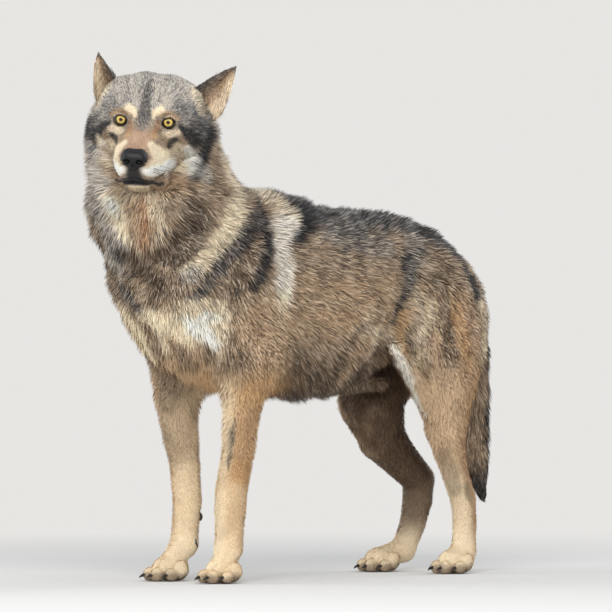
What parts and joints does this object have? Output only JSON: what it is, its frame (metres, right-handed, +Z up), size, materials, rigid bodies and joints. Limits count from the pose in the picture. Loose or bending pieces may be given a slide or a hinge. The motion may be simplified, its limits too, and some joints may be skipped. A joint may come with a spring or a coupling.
{
  "type": "timber wolf",
  "caption": "Standing life-size wolf with a thick winter coat, its head turned to its left and its tail hanging down.",
  "frame": {"origin": "middle of the bounding box on the floor under the paws", "axes": "+Z up, the wolf faces -Y, its left side is +X, +Y runs back along the body to the tail"},
  "size_m": [0.2938, 1.0252, 0.9267],
  "materials": {
    "coat_grey": "long grizzled guard hairs over a grey-brown undercoat, matt",
    "coat_face": "short grizzled hair, matt",
    "coat_tan": "tan hair ticked with dark tips, matt",
    "coat_cream": "cream hair, matt",
    "coat_white": "off-white short hair, matt",
    "coat_ear": "short rust-tan hair with dark edges and pale inner hairs, matt",
    "coat_dark": "black-tipped long hair, matt",
    "eye": "wet cornea over an amber iris, gloss",
    "nose": "moist pebbled black skin, semi-gloss",
    "claw": "dark horn, satin",
    "skin_dark": "dark eyelid rims, lips and paw pads, satin",
    "whisker": "fine dark whisker, satin"
  },
  "bodies": {
    "root": {"head": "coat_grey", "face": "coat_face", "muzzle": "coat_tan", "lower_jaw": "coat_white", "ear_left": "coat_ear", "ear_right": "coat_ear", "eye_left": "eye", "eye_right": "eye", "nose": "nose", "neck": "coat_cream", "chest": "coat_grey", "loin": "coat_tan", "rump": "coat_grey", "elbow_fore_left": "coat_tan", "forearm_fore_left": "coat_tan", "pastern_fore_left": "coat_cream", "paw_fore_left": "coat_cream", "thigh_hind_left": "coat_tan", "shank_hind_left": "coat_tan", "hock_hind_left": "coat_cream", "paw_hind_left": "coat_cream", "elbow_fore_right": "coat_tan", "forearm_fore_right": "coat_tan", "pastern_fore_right": "coat_cream", "paw_fore_right": "coat_cream", "thigh_hind_right": "coat_tan", "shank_hind_right": "coat_tan", "hock_hind_right": "coat_cream", "paw_hind_right": "coat_cream", "claw_fore_left_1": "claw", "claw_fore_left_2": "claw", "claw_fore_left_3": "claw", "claw_fore_left_4": "claw", "claw_fore_right_1": "claw", "claw_fore_right_2": "claw", "claw_fore_right_3": "claw", "claw_fore_right_4": "claw", "claw_hind_left_1": "claw", "claw_hind_left_2": "claw", "claw_hind_left_3": "claw", "claw_hind_left_4": "claw", "claw_hind_right_1": "claw", "claw_hind_right_2": "claw", "claw_hind_right_3": "claw", "claw_hind_right_4": "claw", "tail_root": "coat_grey", "tail_tip": "coat_dark"}
  },
  "joints": []
}
